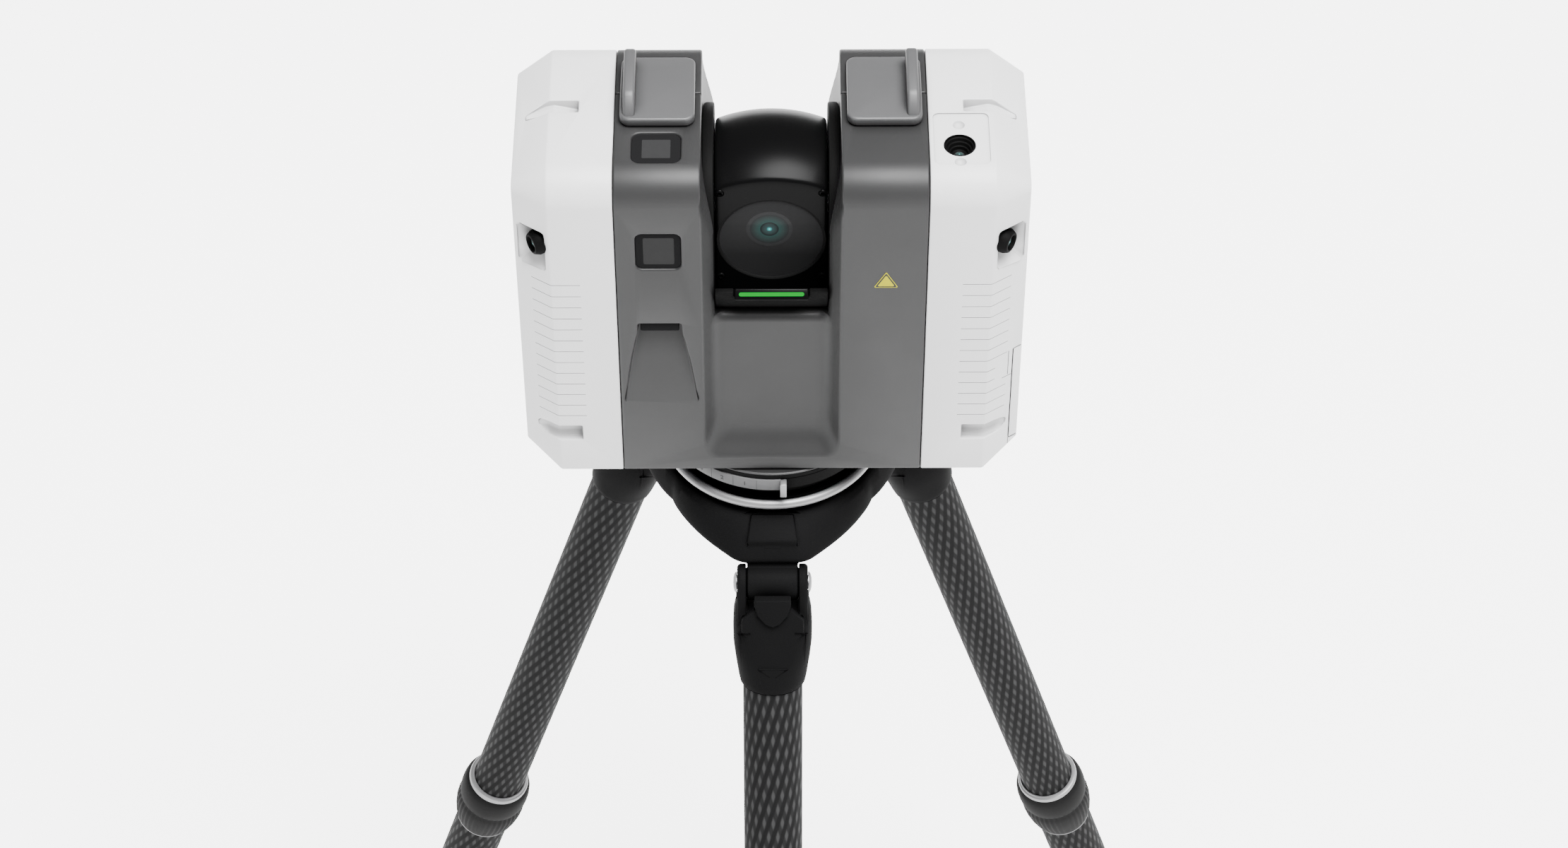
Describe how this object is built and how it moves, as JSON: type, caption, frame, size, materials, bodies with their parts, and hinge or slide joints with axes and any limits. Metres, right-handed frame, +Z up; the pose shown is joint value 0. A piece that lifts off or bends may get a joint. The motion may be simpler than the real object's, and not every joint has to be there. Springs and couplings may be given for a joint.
{
  "type": "terrestrial laser scanner",
  "caption": "Two-tower terrestrial laser scanner with a barrel-shaped mirror rotor between the towers, standing on a folding carbon tripod.",
  "frame": {"origin": "on the floor, at the centre of the three feet's bounding box", "axes": "+Z up, +X towards the right-hand tower, -Y towards the laser window and the front leg"},
  "size_m": [0.5314, 0.4647, 0.9594],
  "materials": {
    "white_plastic": "fine satin moulded",
    "grey_paint": "satin, faint metallic",
    "black_plastic": "satin",
    "gloss_black": "gloss",
    "dark_glass": "polished, dark coated",
    "aluminium": "satin anodised",
    "dark_alloy": "powder coated",
    "steel": "bright",
    "carbon": "clear-coated woven carbon fibre",
    "rubber": "matt",
    "green_light": "lit diffuser",
    "board_green": "coated board",
    "battery_grey": "satin"
  },
  "bodies": {
    "tripod": {"tripod_platform": "aluminium", "tripod_shoulder": "dark_alloy", "tripod_adapter": "black_plastic", "azimuth_base": "black_plastic"},
    "head": {"azimuth_bearing": "steel", "chassis": "dark_alloy", "corner_camera_front_left": "black_plastic", "corner_camera_front_right": "black_plastic", "corner_camera_rear_left": "black_plastic", "corner_camera_rear_right": "black_plastic", "front_cover": "grey_paint", "hdr_camera_front": "dark_glass", "hdr_camera_low": "dark_glass", "hdr_camera_top": "dark_glass", "laser_module": "aluminium", "left_battery": "battery_grey", "left_side_cover": "white_plastic", "light_bar": "green_light", "main_board": "board_green", "rear_cover": "grey_paint", "right_battery": "battery_grey", "right_side_cover": "white_plastic", "rotor_bearing_left": "steel", "rotor_bearing_right": "steel", "rotor_cradle": "black_plastic", "rotor_motor": "dark_alloy", "service_port": "dark_alloy", "sky_camera": "black_plastic", "touchscreen": "dark_glass"},
    "rotor": {"rotor_housing": "gloss_black", "rotor_window": "dark_glass", "scan_mirror": "aluminium", "rotor_shaft_left": "steel", "rotor_shaft_right": "steel", "encoder_disc": "dark_glass"},
    "left_cap": {"left_battery_cap": "grey_paint"},
    "right_cap": {"right_battery_cap": "grey_paint"},
    "button": {"power_button": "steel"},
    "door": {"side_door": "white_plastic"},
    "ring": {"lock_ring": "aluminium"},
    "knob": {"clamp_knob": "rubber"},
    "leg_front": {"leg_bracket_front": "dark_alloy", "hinge_bolt_front": "steel", "upper_tube_front": "carbon"},
    "lower_leg_front": {"lower_tube_front": "carbon", "foot_front": "rubber"},
    "lock_front": {"twist_lock_front": "rubber"},
    "leg_right": {"leg_bracket_right": "dark_alloy", "hinge_bolt_right": "steel", "upper_tube_right": "carbon"},
    "lower_leg_right": {"lower_tube_right": "carbon", "foot_right": "rubber"},
    "lock_right": {"twist_lock_right": "rubber"},
    "leg_left": {"leg_bracket_left": "dark_alloy", "hinge_bolt_left": "steel", "upper_tube_left": "carbon"},
    "lower_leg_left": {"lower_tube_left": "carbon", "foot_left": "rubber"},
    "lock_left": {"twist_lock_left": "rubber"}
  },
  "joints": [
    {"name": "azimuth", "type": "hinge", "parent": "tripod", "child": "head", "pos_m": [0, 0.07272, 0.75535], "axis": [0, 0, 1], "continuous": true},
    {"name": "rotor_spin", "type": "hinge", "parent": "head", "child": "rotor", "pos_m": [0, 0.07272, 0.88485], "axis": [1, 0, 0], "continuous": true},
    {"name": "left_cap_hinge", "type": "hinge", "parent": "head", "child": "left_cap", "pos_m": [-0.0354, 0.08372, 0.94735], "axis": [0, 1, 0], "range_deg": [0, 100]},
    {"name": "right_cap_hinge", "type": "hinge", "parent": "head", "child": "right_cap", "pos_m": [0.0354, 0.08372, 0.94735], "axis": [0, -1, 0], "range_deg": [0, 100]},
    {"name": "button_press", "type": "slide", "parent": "head", "child": "button", "axis": [1, 0, 0], "range_m": [0, 0.0015], "stiffness_N_per_m": 600, "springref_m": -0.0006},
    {"name": "door_hinge", "type": "hinge", "parent": "head", "child": "door", "pos_m": [0.119, 0.07272, 0.76925], "axis": [0, 1, 0], "range_deg": [0, 90]},
    {"name": "ring_turn", "type": "hinge", "parent": "tripod", "child": "ring", "pos_m": [0, 0.07272, 0.75535], "axis": [0, 0, 1], "range_deg": [0, 40]},
    {"name": "knob_turn", "type": "hinge", "parent": "tripod", "child": "knob", "pos_m": [0, 0.07272, 0.69535], "axis": [0, 0, 1], "continuous": true},
    {"name": "leg_front_fold", "type": "hinge", "parent": "tripod", "child": "leg_front", "pos_m": [0, -0.00228, 0.69735], "axis": [1, 0, 0], "range_deg": [0, 17]},
    {"name": "leg_front_slide", "type": "slide", "parent": "leg_front", "child": "lower_leg_front", "axis": [0, 0.2957, 0.9553], "range_m": [0, 0.18]},
    {"name": "leg_front_lock", "type": "hinge", "parent": "lower_leg_front", "child": "lock_front", "pos_m": [0, -0.00228, 0.69735], "axis": [0, 0.2957, 0.9553], "range_deg": [0, 90]},
    {"name": "leg_right_fold", "type": "hinge", "parent": "tripod", "child": "leg_right", "pos_m": [0.06495, 0.11022, 0.69735], "axis": [-0.5, 0.866, 0], "range_deg": [0, 17]},
    {"name": "leg_right_slide", "type": "slide", "parent": "leg_right", "child": "lower_leg_right", "axis": [-0.2561, -0.1479, 0.9553], "range_m": [0, 0.18]},
    {"name": "leg_right_lock", "type": "hinge", "parent": "lower_leg_right", "child": "lock_right", "pos_m": [0.06495, 0.11022, 0.69735], "axis": [-0.2561, -0.1479, 0.9553], "range_deg": [0, 90]},
    {"name": "leg_left_fold", "type": "hinge", "parent": "tripod", "child": "leg_left", "pos_m": [-0.06495, 0.11022, 0.69735], "axis": [-0.5, -0.866, 0], "range_deg": [0, 17]},
    {"name": "leg_left_slide", "type": "slide", "parent": "leg_left", "child": "lower_leg_left", "axis": [0.2561, -0.1479, 0.9553], "range_m": [0, 0.18]},
    {"name": "leg_left_lock", "type": "hinge", "parent": "lower_leg_left", "child": "lock_left", "pos_m": [-0.06495, 0.11022, 0.69735], "axis": [0.2561, -0.1479, 0.9553], "range_deg": [0, 90]}
  ]
}
